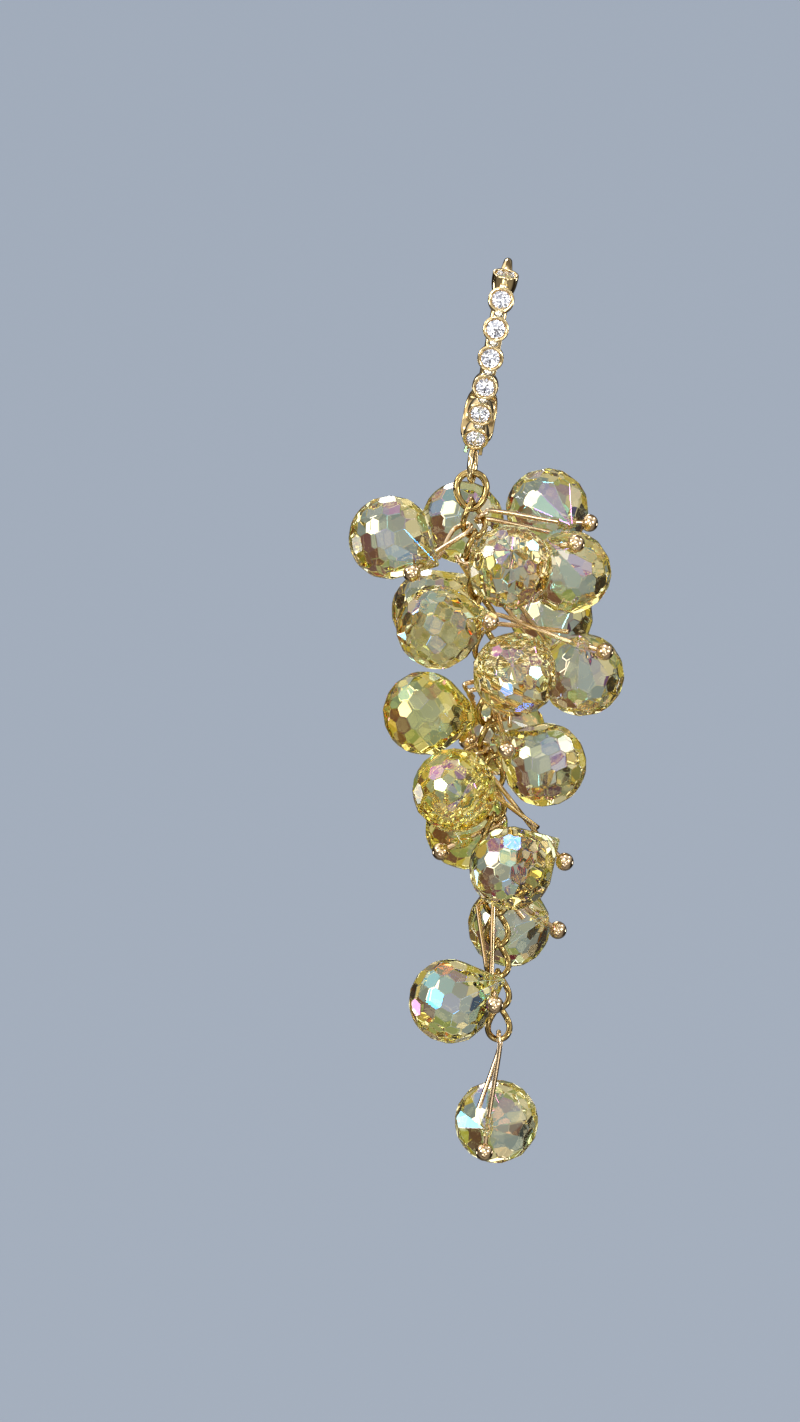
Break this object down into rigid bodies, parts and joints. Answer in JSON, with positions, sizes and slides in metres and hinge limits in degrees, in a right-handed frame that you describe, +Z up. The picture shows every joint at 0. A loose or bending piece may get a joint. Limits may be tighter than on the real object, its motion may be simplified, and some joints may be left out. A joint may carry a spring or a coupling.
{
  "type": "chandelier earring",
  "caption": "Lever-back hoop earring with bezel-set stones and a twisted link chain that carries a cluster of faceted champagne glass drops on ball-headed pins.",
  "frame": {"origin": "the crown of the ear wire, where it crosses the lobe and the earring hangs", "axes": "+Z up along the hanging chain, -Y towards the viewer who sees the row of stones, +X to that viewer's right"},
  "size_m": [0.0267, 0.0245, 0.0881],
  "materials": {
    "polished_gold": "polished gold plate",
    "chain_gold": "polished, slightly darker gold plate",
    "pin_gold": "polished pale gold plate",
    "clear_stone": "clear cut stone",
    "champagne_glass": "clear faceted glass with an iridescent coat"
  },
  "bodies": {
    "earring": {"hoop_front": "polished_gold", "hinge_pin": "polished_gold", "jump_ring": "polished_gold", "link_chain": "chain_gold", "hoop_stone_1": "clear_stone", "hoop_stone_2": "clear_stone", "hoop_stone_3": "clear_stone", "hoop_stone_4": "clear_stone", "hoop_stone_5": "clear_stone", "hoop_stone_6": "clear_stone", "hoop_stone_7": "clear_stone", "drop_a": "champagne_glass", "drop_b": "champagne_glass", "drop_c": "champagne_glass", "drop_d": "champagne_glass", "drop_e": "champagne_glass", "drop_f": "champagne_glass", "drop_g": "champagne_glass", "drop_h": "champagne_glass", "drop_i": "champagne_glass", "drop_j": "champagne_glass", "drop_k": "champagne_glass", "drop_l": "champagne_glass", "drop_m": "champagne_glass", "drop_n": "champagne_glass", "drop_o": "champagne_glass", "drop_p": "champagne_glass", "drop_q": "champagne_glass", "drop_r": "champagne_glass", "drop_s": "champagne_glass", "pin_a": "pin_gold", "pin_b": "pin_gold", "pin_c": "pin_gold", "pin_d": "pin_gold", "pin_e": "pin_gold", "pin_f": "pin_gold", "pin_g": "pin_gold", "pin_h": "pin_gold", "pin_i": "pin_gold", "pin_j": "pin_gold", "pin_k": "pin_gold", "pin_l": "pin_gold", "pin_m": "pin_gold", "pin_n": "pin_gold", "pin_o": "pin_gold", "pin_p": "pin_gold", "pin_q": "pin_gold", "pin_r": "pin_gold", "pin_s": "pin_gold"},
    "lever": {"back_lever": "polished_gold"}
  },
  "joints": [
    {"name": "lever_hinge", "type": "hinge", "parent": "earring", "child": "lever", "pos_m": [-0.00327, 0.0023, -0.0178], "axis": [-0.9836, 0, 0.1805], "range_deg": [0, 50]}
  ]
}
